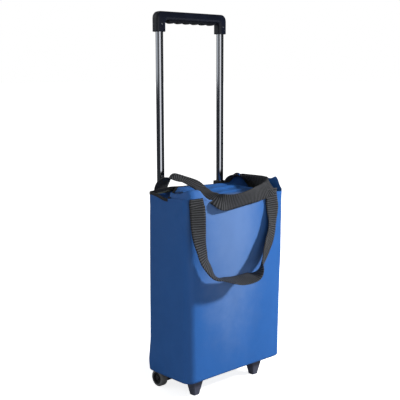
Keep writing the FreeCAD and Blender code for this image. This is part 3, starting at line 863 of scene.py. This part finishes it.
@dataclass
class FrontStrap:
    """The carry strap that hangs on the front panel."""

    width: float = 40.0
    thick: float = 1.9
    # x, y, z of the middle and the direction across
    route: tuple = (
        (-140, -69.9, 507, 1, 0, 0), (-140, -70.6, 495, 0.98, -0.18, 0), (-139.5, -73.5, 482, 0.95, -0.3, 0),
        (-141, -77, 458, 0.95, -0.3, 0), (-143, -81.5, 432.7, 0.98, -0.16, 0), (-143.4, -86, 407.4, 0.99, 0.06, 0),
        (-140.8, -91, 383.4, 0.97, 0.24, -0.07), (-136.8, -95, 361.1, 0.92, 0.32, -0.2),
        (-125, -99, 339.6, 0.9, 0.4, -0.2), (-109.7, -103, 320.6, 0.82, 0.5, -0.25),
        (-90, -106, 310.3, 0.62, 0.76, -0.15), (-70.9, -108, 305.4, 0.3, 0.94, 0.12),
        (-40.7, -109, 299.6, 0.05, 0.94, 0.32), (-11.8, -109, 298.4, 0, 0.92, 0.4),
        (16, -107.5, 300.5, 0.1, 0.93, 0.34), (37, -102, 308, 0.45, 0.86, 0.0), (56, -95, 320.3, 0.75, 0.6, -0.29),
        (72.2, -89.5, 335.1, 0.83, 0.49, -0.27), (85.5, -85.5, 355.2, 0.89, 0.34, -0.31),
        (98.9, -82, 376.8, 0.92, 0.25, -0.29), (110.5, -78.5, 398.7, 0.93, 0.27, -0.25),
        (116.5, -75.5, 425.5, 0.95, 0.22, -0.14), (118.2, -73, 459.5, 0.98, -0.1, 0), (117.5, -71, 484.7, 1, 0, 0),
        (117, -70.1, 496, 1, 0, 0), (117, -69.9, 507, 1, 0, 0))
    tab_tops: tuple = (-140.0, 117.0)

    def build(self) -> None:
        """Makes the strap and the tabs that it is sewn on with."""
        mesh = band(self.route, self.width)
        make_piece(mesh, "front_strap_webbing", WEBBING, Body.FRONT_STRAP,
                   stands_for=["front_strap"], thick=self.thick)
        tabs = bmesh.new()
        tabs.loops.layers.uv.new("UVMap")
        for x in self.tab_tops:
            tab = band(((x, -68.0, 494.0, 1, 0, 0), (x, -68.2, 480.0, 1, 0, 0), (x, -68.3, 466.5, 1, 0, 0)),
                       self.width - 3.0, cup=0.0)
            part = bpy.data.meshes.new("tab")
            tab.to_mesh(part)
            tab.free()
            tabs.from_mesh(part)
            bpy.data.meshes.remove(part)
        make_piece(tabs, "front_strap_sewn_tabs", WEBBING, Body.BASE,
                   stands_for=["front_strap_tabs"], thick=1.6)


@dataclass
class RearStrap:
    """The carry strap from the back panel, lying forward over the mouth."""

    width: float = 40.0
    thick: float = 1.9
    root: float = 121.0
    route: tuple = (
        (-121, 88.1, 507.5, -1, 0, 0), (-121.8, 83.3, 514.5, -1, 0, 0), (-127, 70, 529, -0.99, -0.04, 0.09),
        (-127.5, 57, 541, -0.96, -0.22, 0.1), (-115.7, 45, 546.0, -0.89, -0.4, -0.2),
        (-93.6, 30, 540.1, -0.89, -0.43, -0.16), (-80.7, 5, 530.3, -0.95, -0.24, -0.2),
        (-77, -18, 518.5, -0.87, -0.46, -0.2), (-80.5, -45, 507.5, -0.8, -0.48, -0.35),
        (-78, -68, 500.5, -0.67, -0.47, -0.58), (-65, -79, 492.4, -0.5, -0.1, -0.85),
        (-41, -82, 489.8, -0.36, 0.2, -0.89), (-11.2, -82, 491.2, -0.2, 0.3, -0.9), (28.4, -78.5, 495.3, -0.1, 0.2, -0.95),
        (71.8, -73, 500.5, 0, -0.1, -0.99), (98, -70, 505, 0.05, -0.35, -0.93), (119, -64, 510, 0.2, -0.65, -0.73),
        (138, -49, 513, 0.3, -0.42, -0.85), (149, -20, 511, 0.1, -0.1, -0.99), (150, 18, 512, 0.4, 0, -0.9),
        (145, 48, 518, 0.8, 0, -0.6), (133, 66, 525, 0.95, 0.1, -0.3), (124, 76, 523.5, 1, 0, 0),
        (121.5, 83.3, 516, 1, 0, 0), (121, 88.1, 507.5, 1, 0, 0))

    def build(self) -> None:
        """Makes the strap and the tabs that it is sewn on with."""
        mesh = band(self.route, self.width)
        make_piece(mesh, "rear_strap_webbing", WEBBING, Body.REAR_STRAP,
                   stands_for=["rear_strap"], thick=self.thick)
        tabs = bmesh.new()
        tabs.loops.layers.uv.new("UVMap")
        for x in (-self.root, self.root):
            tab = band(((x, 88.4, 505.8, 1, 0, 0), (x, 88.4, 485.0, 1, 0, 0), (x, 88.4, 466.5, 1, 0, 0)),
                       self.width, cup=0.0)
            part = bpy.data.meshes.new("tab")
            tab.to_mesh(part)
            tab.free()
            tabs.from_mesh(part)
            bpy.data.meshes.remove(part)
        make_piece(tabs, "rear_strap_sewn_tabs", WEBBING, Body.BASE,
                   stands_for=["rear_strap_tabs"], thick=1.6)


# ---- the frame --------------------------------------------------------------------------


@dataclass
class Sleeves:
    """The cloth sleeves that hold the outer tubes to the back panel, with their stitching."""

    tube_x: float = 103.0
    tube_y: float = 107.0
    panel: float = 87.2
    radius: float = 12.6
    flange: float = 10.0
    low: float = 108.0
    high: float = 462.0

    def build(self) -> None:
        """Makes both sleeves and their rows of stitches."""
        for side, sign in (("left", -1), ("right", 1)):
            mesh = mapped_grid(44, 60, lambda u, v, sign=sign: self.place(u, v, sign))
            make_piece(mesh, f"tube_sleeve_cloth_{side}", BAG_CLOTH, Body.BASE,
                       stands_for=[f"tube_sleeve_{side}"], thick=1.0)
        rows = []
        for sign in (-1, 1):
            for edge in (-1, 1):
                x = sign * self.tube_x + edge * (self.radius + 0.6 * self.flange)
                count = int((self.high - self.low) / 6.0)
                rows += [(Vector((x, self.panel + 1.0, self.low + 4 + 6.0 * i)), Vector((0, 0, 1)), Vector((0, 1, 0)))
                         for i in range(count)]
        make_piece(stitches(rows), "tube_sleeve_stitching", THREAD, Body.BASE)

    def place(self, u: float, v: float, sign: int) -> tuple[Vector, tuple[float, float]]:
        """Returns a spot of a sleeve: flange, wrap round the tube, flange."""
        wide, r = self.radius + self.flange, self.radius
        z = self.low + (self.high - self.low) * v
        wrap = 0.2
        if u < wrap or u > 1 - wrap:
            t = (wrap - u) / wrap if u < wrap else (u - 1 + wrap) / wrap
            side = -1 if u < wrap else 1
            reach = t * self.flange
            rise = (self.tube_y - self.panel) * (1 - fade(0.0, 0.4, t))
            spot = Vector((side * (r + reach), self.panel + rise, z))
        else:
            turn = math.pi * (1 - (u - wrap) / (1 - 2 * wrap))
            spot = Vector((r * math.cos(turn), self.tube_y + r * math.sin(turn), z))
        spot.x = sign * self.tube_x + spot.x
        spot.y += 0.7 * ripple(spot.x, 0, z * 0.5, 16.0, 4.4) * fade(self.panel + 2, self.panel + 10, spot.y)
        return spot, (u * 2 * wide + 40, z)


@dataclass
class Grip:
    """The U-shaped moulded grip with its softer finger insert and rivets."""

    half_width: float = 117.5
    inner_x: float = 89.5
    top: float = 950.0
    bar_bottom: float = 928.0
    mouth: float = 900.0
    outer_corner: float = 16.0
    inner_corner: float = 6.0
    half_depth: float = 13.0
    centre_y: float = 107.0
    tube_x: float = 103.0
    bore: float = 9.7
    insert_half: float = 81.0
    insert_depth: float = 10.8
    lobes: int = 6
    lobe_drop: float = 6.0
    rivet_z: float = 919.5
    squareness: float = 0.5

    def build(self) -> None:
        """Makes the grip, its insert and the rivets."""
        self.make_shell()
        self.make_insert()
        self.make_rivets()

    def section(self, angle: float) -> tuple[float, float]:
        """Returns a point of the cross section.

        Args:
            angle: place round the section, in radians.

        Returns:
            From -1 on the finger side to 1 outside, and from -1 at the front to 1 at the back.
        """
        c, s = math.cos(angle), math.sin(angle)
        across = math.copysign(abs(c) ** self.squareness, c)
        deep = math.copysign(abs(s) ** self.squareness, s)
        if deep < 0:
            ridge = 0.06 * math.exp(-((across + 0.3) / 0.14) ** 2)
            deep *= 1 - 0.14 * fade(-0.2, 0.95, across) - 0.08 * fade(0.35, 0.95, -across) + ridge
        return across, deep

    def stations(self) -> list[tuple[float, float, float, float, float]]:
        """Returns the rings of the left half: outer x, z, inner x, z and how far the section has opened."""
        rings = [(-self.half_width, self.mouth + lift, -self.inner_x, self.mouth + lift, grown)
                 for grown, lift in ((-1.0, 5.0), (0.0, 5.0), (0.0, 0.0), (0.88, 0.0), (0.975, 0.5), (1.0, 1.8))]
        outer_z, inner_z = self.top - self.outer_corner, self.bar_bottom - self.inner_corner
        for i in range(1, 9):
            t = i / 8
            low = self.mouth + 1.8
            rings.append((-self.half_width, low + (outer_z - low) * t, -self.inner_x, low + (inner_z - low) * t, 1.0))
        for i in range(1, 10):
            turn = math.pi * (1 - i / 18)
            rings.append((-self.half_width + self.outer_corner * (1 + math.cos(turn)),
                          outer_z + self.outer_corner * math.sin(turn),
                          -self.inner_x + self.inner_corner * (1 + math.cos(turn)),
                          inner_z + self.inner_corner * math.sin(turn), 1.0))
        start_out, start_in = rings[-1][0], rings[-1][2]
        rings += [(start_out * (1 - i / 14), self.top, start_in * (1 - i / 14), self.bar_bottom, 1.0)
                  for i in range(1, 15)]
        return rings

    def make_shell(self) -> None:
        """Makes the shell by carrying its section from one socket over the bar to the other."""
        left = self.stations()
        rings = left + [(-ox, oz, -ix, iz, grown) for ox, oz, ix, iz, grown in reversed(left[:-1])]

        def place(u: float, v: float) -> tuple[Vector, tuple[float, float]]:
            ox, oz, ix, iz, grown = rings[round(v * (len(rings) - 1))]
            angle = 2 * math.pi * u
            across, deep = self.section(angle)
            outer, inner = Vector((ox, self.centre_y, oz)), Vector((ix, self.centre_y, iz))
            full = (outer + inner) / 2 + (outer - inner) / 2 * across + Vector((0, self.half_depth * deep, 0))
            if grown < 1.0:
                middle = Vector((math.copysign(self.tube_x, ox), self.centre_y, oz))
                out = (outer - inner).normalized()
                hole = middle + (out * math.cos(angle) + Vector((0, math.sin(angle), 0))) * self.bore
                full = middle if grown < 0 else hole.lerp(full, grown)
            return full, (u * 90, v * 400)

        mesh = mapped_grid(56, len(rings) - 1, place, weld=True)
        bmesh.ops.recalc_face_normals(mesh, faces=mesh.faces)
        make_piece(mesh, "handle_grip_shell", GRIP_NYLON, Body.HANDLE,
                   stands_for=["handle_shell"], smooth_levels=1)

    def make_insert(self) -> None:
        """Makes the finger insert, whose lobes hang below the bar."""
        length = 120

        def place(u: float, v: float) -> tuple[Vector, tuple[float, float]]:
            row = round(v * length)
            x = -self.insert_half + 2 * self.insert_half * v
            lobe = abs(math.sin(math.pi * self.lobes * v)) ** 0.75
            low, high = self.bar_bottom - 1.6 - self.lobe_drop * lobe, self.bar_bottom + 2.5
            angle = 2 * math.pi * u
            up, deep = self.section(angle)
            if row in (0, length):
                up = deep = 0.0
            spot = Vector((x, self.centre_y + self.insert_depth * deep, (low + high) / 2 + (high - low) / 2 * up))
            return spot, (u * 60, x)

        mesh = mapped_grid(28, length, place, weld=True)
        bmesh.ops.recalc_face_normals(mesh, faces=mesh.faces)
        make_piece(mesh, "handle_finger_insert", GRIP_INSERT, Body.HANDLE,
                   stands_for=["grip_insert"], smooth_levels=1)

    def make_rivets(self) -> None:
        """Makes the domed rivet heads, with their shanks through the sockets."""
        mesh = bmesh.new()
        for sign in (-1, 1):
            for y in (self.centre_y - self.half_depth + 0.4, self.centre_y + self.half_depth - 0.4):
                made = bmesh.ops.create_uvsphere(mesh, u_segments=20, v_segments=10, radius=3.0 * MM)
                bmesh.ops.scale(mesh, vec=(1, 0.45, 1), verts=made["verts"])
                bmesh.ops.translate(mesh, vec=Vector((sign * self.tube_x, y, self.rivet_z)) * MM,
                                    verts=made["verts"])
            shank = bmesh.ops.create_cone(mesh, cap_ends=True, segments=16, radius1=2.0 * MM, radius2=2.0 * MM,
                                          depth=2 * (self.half_depth - 1) * MM)
            bmesh.ops.rotate(mesh, cent=(0, 0, 0), matrix=Quaternion((1, 0, 0), math.pi / 2).to_matrix(),
                             verts=shank["verts"])
            bmesh.ops.translate(mesh, vec=Vector((sign * self.tube_x, self.centre_y, self.rivet_z)) * MM,
                                verts=shank["verts"])
        make_piece(mesh, "handle_rivet_heads", RIVET_STEEL, Body.HANDLE,
                   stands_for=["handle_rivets"])


@dataclass
class Frame:
    """The folding frame and running gear: each solid's own surface, shaded smooth between its edges."""

    sharp: float = 32.0
    pieces: dict = field(default_factory=lambda: {
        "inner_tube_left": (BLACK_CHROME, "inner_tube"), "inner_tube_right": (BLACK_CHROME, "inner_tube"),
        "outer_tube_left": (OUTER_CHROME, "outer_tube"), "outer_tube_right": (OUTER_CHROME, "outer_tube"),
        "cross_tube": (OUTER_CHROME, "outer_tube"), "collar_left": (ACETAL, "collar_plastic"),
        "collar_right": (ACETAL, "collar_plastic"), "tube_glide_left": (ACETAL, "glide_plastic"),
        "tube_glide_right": (ACETAL, "glide_plastic"), "lock_button_left": (BASE_PLASTIC, "button_plastic"),
        "lock_button_right": (BASE_PLASTIC, "button_plastic"), "lock_springs": (SPRING_STEEL, "spring_steel"),
        "wheel_housing_left": (HUB_PLASTIC, "hub_plastic"), "wheel_housing_right": (HUB_PLASTIC, "hub_plastic"),
        "wheel_hub_left": (HUB_PLASTIC, "hub_plastic"), "wheel_hub_right": (HUB_PLASTIC, "hub_plastic"),
        "tyre_left": (TYRE_RUBBER, "tyre"), "tyre_right": (TYRE_RUBBER, "tyre"),
        "foot_left": (BASE_PLASTIC, "base_plastic"), "foot_right": (BASE_PLASTIC, "base_plastic"),
        "axle": (ZINC_STEEL, "zinc_steel"), "axle_washers": (ZINC_STEEL, "zinc_steel"),
        "axle_cap_left": (HUB_PLASTIC, "hub_plastic"), "axle_cap_right": (HUB_PLASTIC, "hub_plastic"),
        "base_board": (BOARD_PLASTIC, "board_plastic"), "base_screws": (ZINC_STEEL, "zinc_steel")})

    def build(self) -> None:
        """Makes a smooth-shaded copy of every rigid solid, on the same body."""
        groups = frame["record"]["behaviour"]["bodies"]
        body_of = {name: Body(body) for body, names in groups.items() for name in names}
        for name, (finish, slot) in self.pieces.items():
            mesh = bmesh.new()
            mesh.from_mesh(frame["nodes"][name].data)
            bmesh.ops.remove_doubles(mesh, verts=mesh.verts, dist=0.001 * MM)
            for edge in mesh.edges:
                edge.smooth = edge.calc_face_angle(0.0) < math.radians(self.sharp)
            make_piece(mesh, f"{name}_finished", finish, body_of[name], stands_for=[name])


# ---- studio -----------------------------------------------------------------------------


@dataclass
class Studio:
    """Pale floor, one low key light from the front right, a wide soft box near the camera and a soft surround."""

    camera_spot: Spot = (-1361.5, -1439.4, 796.2)
    heading: float = 42.0
    dip: float = 9.03
    roll: float = -0.0023
    lens: float = 71.2
    sensor: float = 36.0

    def build(self) -> None:
        """Makes the floor, the lights, the surround and the camera."""
        self.make_floor()
        self.make_lights()
        self.make_surround()
        self.make_camera()

    def make_floor(self) -> None:
        """Makes the plain pale floor."""
        mesh = bmesh.new()
        bmesh.ops.create_grid(mesh, x_segments=2, y_segments=2, size=60.0)
        data = bpy.data.meshes.new("floor")
        mesh.to_mesh(data)
        mesh.free()
        floor = bpy.data.objects.new("floor", data)
        bpy.context.scene.collection.objects.link(floor)
        paper = bpy.data.materials.new("paper_backdrop_white")
        paper.use_nodes = True
        shader = paper.node_tree.nodes["Principled BSDF"]
        shader.inputs["Base Color"].default_value = linear("#F7F7F7")
        shader.inputs["Roughness"].default_value = 0.9
        shader.inputs["Specular IOR Level"].default_value = 0.1
        # the paper is lit brighter away from the trolley, so that it fades into the white surround
        coords = add_node(paper.node_tree, "ShaderNodeTexCoord")
        away = add_node(paper.node_tree, "ShaderNodeVectorMath", {"operation": "LENGTH"},
                        {0: coords.outputs["Object"]})
        level = add_node(paper.node_tree, "ShaderNodeMapRange", {"interpolation_type": "SMOOTHSTEP", "From Min": 0.15,
                                                                 "From Max": 1.3, "To Min": 0.80, "To Max": 1.0},
                         {"Value": away.outputs["Value"]})
        glow = add_node(paper.node_tree, "ShaderNodeEmission", {"Color": (1, 1, 1, 1)},
                        {"Strength": level.outputs[0]})
        lit = add_node(paper.node_tree, "ShaderNodeAddShader", None, {0: shader.outputs[0], 1: glow.outputs[0]})
        dim = add_node(paper.node_tree, "ShaderNodeBsdfDiffuse", {"Color": linear("#8C8F94")})
        path = add_node(paper.node_tree, "ShaderNodeLightPath")
        both = add_node(paper.node_tree, "ShaderNodeMixShader", None,
                        {0: path.outputs["Is Camera Ray"], 1: dim.outputs[0], 2: lit.outputs[0]})
        paper.node_tree.links.new(both.outputs[0], paper.node_tree.nodes["Material Output"].inputs["Surface"])
        data.materials.append(paper)

    def add_light(self, name: str, spot: Spot, target: Spot, size: tuple[float, float], power: float) -> None:
        """Hangs one rectangular light.

        Args:
            name: the light's name.
            spot: where it hangs, in metres.
            target: where it looks, in metres.
            size: width and height in metres.
            power: strength in watts.
        """
        data = bpy.data.lights.new(name, "AREA")
        data.shape = "RECTANGLE"
        data.size, data.size_y = size
        data.energy = power
        lamp = bpy.data.objects.new(name, data)
        lamp.location = spot
        lamp.visible_camera = False
        # a bare bulb would burn white specks into the plating, so only the soft box is mirrored
        lamp.visible_glossy = name == "soft_box"
        lamp.rotation_euler = (Vector(target) - Vector(spot)).to_track_quat("-Z", "Y").to_euler()
        bpy.context.scene.collection.objects.link(lamp)

    def make_lights(self) -> None:
        """Hangs the key light and the soft box."""
        self.add_light("key", (1.75, -1.45, 1.32), (0, 0, 0.3), (0.24, 0.24), 82.0)
        # a wide soft box near the camera draws the bright band down the tubes
        self.add_light("soft_box", (-0.92, -1.90, 0.65), (0, 0, 0.65), (1.7, 1.1), 11.0)

    def make_surround(self) -> None:
        """Lights the studio softly from all round and shows it white."""
        world = bpy.data.worlds.new("studio")
        bpy.context.scene.world = world
        world.use_nodes = True
        tree = world.node_tree
        tree.nodes.clear()
        seen = add_node(tree, "ShaderNodeBackground", {"Color": (1, 1, 1, 1), "Strength": 1.0})
        # the unseen half of the studio is black cloth, the other half a grey wall
        coords = add_node(tree, "ShaderNodeTexCoord")
        lean = add_node(tree, "ShaderNodeVectorMath", {"operation": "DOT_PRODUCT", 1: (-0.74, 0.67, 0.1)},
                        {0: coords.outputs["Generated"]})
        broad = add_node(tree, "ShaderNodeMapRange", {"From Min": -0.35, "From Max": 0.7, "To Min": 0.07,
                                                      "To Max": 0.34}, {"Value": lean.outputs["Value"]})
        narrow = add_node(tree, "ShaderNodeMapRange", {"From Min": 0.78, "From Max": 0.95, "To Min": 0.0,
                                                       "To Max": 0.8}, {"Value": lean.outputs["Value"]})
        level = add_node(tree, "ShaderNodeMath", {"operation": "ADD"},
                         {0: broad.outputs[0], 1: narrow.outputs[0]})
        fill = add_node(tree, "ShaderNodeBackground", {"Color": (0.94, 0.98, 1, 1)},
                        {"Strength": level.outputs[0]})
        path = add_node(tree, "ShaderNodeLightPath")
        both = add_node(tree, "ShaderNodeMixShader", None,
                        {0: path.outputs["Is Camera Ray"], 1: fill.outputs[0], 2: seen.outputs[0]})
        add_node(tree, "ShaderNodeOutputWorld", None, {"Surface": both.outputs[0]})
        bpy.context.scene.view_settings.view_transform = "Standard"

    def make_camera(self) -> None:
        """Sets the camera a little above the rim, looking at the left front corner."""
        data = bpy.data.cameras.new("camera")
        data.lens = self.lens
        data.sensor_width = self.sensor
        data.clip_end = 200
        camera = bpy.data.objects.new("camera", data)
        heading, dip = math.radians(self.heading), math.radians(self.dip)
        look = Vector((math.sin(heading) * math.cos(dip), math.cos(heading) * math.cos(dip), -math.sin(dip)))
        turn = look.to_track_quat("-Z", "Y") @ Quaternion((0, 0, 1), self.roll)
        camera.location = Vector(self.camera_spot) * MM
        camera.rotation_mode = "QUATERNION"
        camera.rotation_quaternion = turn
        bpy.context.scene.collection.objects.link(camera)
        bpy.context.scene.camera = camera


def main() -> None:
    """Builds the trolley piece by piece, then the studio."""
    logging.basicConfig(level=logging.INFO, format="%(name)s: %(message)s")
    for assembly in (Bag(), FrontStrap(), RearStrap(), Sleeves(), Grip(), Frame(), Studio()):
        assembly.build()


if __name__ == "__main__":
    main()
